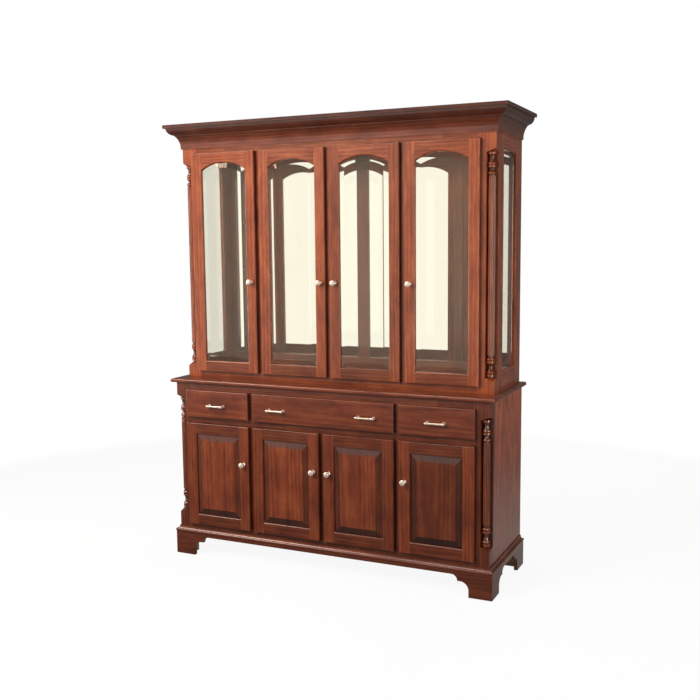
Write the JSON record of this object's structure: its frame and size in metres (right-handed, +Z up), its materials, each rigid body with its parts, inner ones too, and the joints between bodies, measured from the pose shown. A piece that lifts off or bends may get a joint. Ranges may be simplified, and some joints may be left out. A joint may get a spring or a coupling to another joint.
{
  "type": "dresser with hutch",
  "caption": "Tall dresser with a hutch: arched bevelled-glass doors over drawers and raised-panel doors, turned corner columns, crown moulding and bracket feet.",
  "frame": {"origin": "on the floor, below the middle of the overall box, knobs and pulls included", "axes": "+Z up, -Y out of the front with the doors and drawers, +X to the right seen from the front"},
  "size_m": [1.73, 0.565, 2.134],
  "materials": {
    "cherry": "cherry stain under satin lacquer",
    "inner_wood": "plain sanded panel, sealed",
    "glass": "clear, bevelled edge, polished",
    "mirror": "silvered, polished",
    "nickel": "satin nickel plate",
    "steel": "browned steel, oiled"
  },
  "bodies": {
    "cabinet": {"crown": "cherry", "hutch_posts": "cherry", "hutch_face_frame": "cherry", "hutch_side_frames": "cherry", "hutch_side_panes": "glass", "hutch_deck": "cherry", "hutch_top": "inner_wood", "hutch_back": "inner_wood", "back_strips": "cherry", "mirrors": "mirror", "corner_columns": "cherry", "countertop": "cherry", "base_posts": "cherry", "base_face_frame": "cherry", "base_sides": "cherry", "base_floor": "inner_wood", "base_partitions": "inner_wood", "drawer_decks": "inner_wood", "drawer_guides": "inner_wood", "cupboard_shelves": "inner_wood", "shelf_cleats": "inner_wood", "base_back": "inner_wood", "base_moulding": "cherry", "plinth": "cherry", "foot_blocks": "inner_wood", "pivot_brackets": "steel"},
    "hutch_door_1": {"hutch_door_1_frame": "cherry", "hutch_door_1_pane": "glass", "hutch_door_1_knob": "nickel"},
    "hutch_door_2": {"hutch_door_2_frame": "cherry", "hutch_door_2_pane": "glass", "hutch_door_2_knob": "nickel"},
    "hutch_door_3": {"hutch_door_3_frame": "cherry", "hutch_door_3_pane": "glass", "hutch_door_3_knob": "nickel"},
    "hutch_door_4": {"hutch_door_4_frame": "cherry", "hutch_door_4_pane": "glass", "hutch_door_4_knob": "nickel"},
    "base_door_1": {"base_door_1_frame": "cherry", "base_door_1_panel": "cherry", "base_door_1_knob": "nickel"},
    "base_door_2": {"base_door_2_frame": "cherry", "base_door_2_panel": "cherry", "base_door_2_knob": "nickel"},
    "base_door_3": {"base_door_3_frame": "cherry", "base_door_3_panel": "cherry", "base_door_3_knob": "nickel"},
    "base_door_4": {"base_door_4_frame": "cherry", "base_door_4_panel": "cherry", "base_door_4_knob": "nickel"},
    "drawer_left": {"drawer_left_front": "cherry", "drawer_left_box": "inner_wood", "drawer_left_pull": "nickel"},
    "drawer_middle": {"drawer_middle_front": "cherry", "drawer_middle_box": "inner_wood", "drawer_middle_pull": "nickel"},
    "drawer_right": {"drawer_right_front": "cherry", "drawer_right_box": "inner_wood", "drawer_right_pull": "nickel"}
  },
  "joints": [
    {"name": "hutch_door_1_swing", "type": "hinge", "parent": "cabinet", "child": "hutch_door_1", "pos_m": [-0.721, -0.1475, 0.926], "axis": [0, 0, -1], "range_deg": [0, 100]},
    {"name": "hutch_door_2_swing", "type": "hinge", "parent": "cabinet", "child": "hutch_door_2", "pos_m": [-0.35, -0.1475, 0.926], "axis": [0, 0, -1], "range_deg": [0, 100]},
    {"name": "hutch_door_3_swing", "type": "hinge", "parent": "cabinet", "child": "hutch_door_3", "pos_m": [0.35, -0.1475, 0.926], "axis": [0, 0, 1], "range_deg": [0, 100]},
    {"name": "hutch_door_4_swing", "type": "hinge", "parent": "cabinet", "child": "hutch_door_4", "pos_m": [0.721, -0.1475, 0.926], "axis": [0, 0, 1], "range_deg": [0, 100]},
    {"name": "base_door_1_swing", "type": "hinge", "parent": "cabinet", "child": "base_door_1", "pos_m": [-0.7335, -0.2405, 0.163], "axis": [0, 0, -1], "range_deg": [0, 100]},
    {"name": "base_door_2_swing", "type": "hinge", "parent": "cabinet", "child": "base_door_2", "pos_m": [-0.35625, -0.2405, 0.163], "axis": [0, 0, -1], "range_deg": [0, 100]},
    {"name": "base_door_3_swing", "type": "hinge", "parent": "cabinet", "child": "base_door_3", "pos_m": [0.35625, -0.2405, 0.163], "axis": [0, 0, 1], "range_deg": [0, 100]},
    {"name": "base_door_4_swing", "type": "hinge", "parent": "cabinet", "child": "base_door_4", "pos_m": [0.7335, -0.2405, 0.163], "axis": [0, 0, 1], "range_deg": [0, 100]},
    {"name": "drawer_left_slide", "type": "slide", "parent": "cabinet", "child": "drawer_left", "axis": [0, -1, 0], "range_m": [0, 0.35]},
    {"name": "drawer_middle_slide", "type": "slide", "parent": "cabinet", "child": "drawer_middle", "axis": [0, -1, 0], "range_m": [0, 0.35]},
    {"name": "drawer_right_slide", "type": "slide", "parent": "cabinet", "child": "drawer_right", "axis": [0, -1, 0], "range_m": [0, 0.35]}
  ]
}
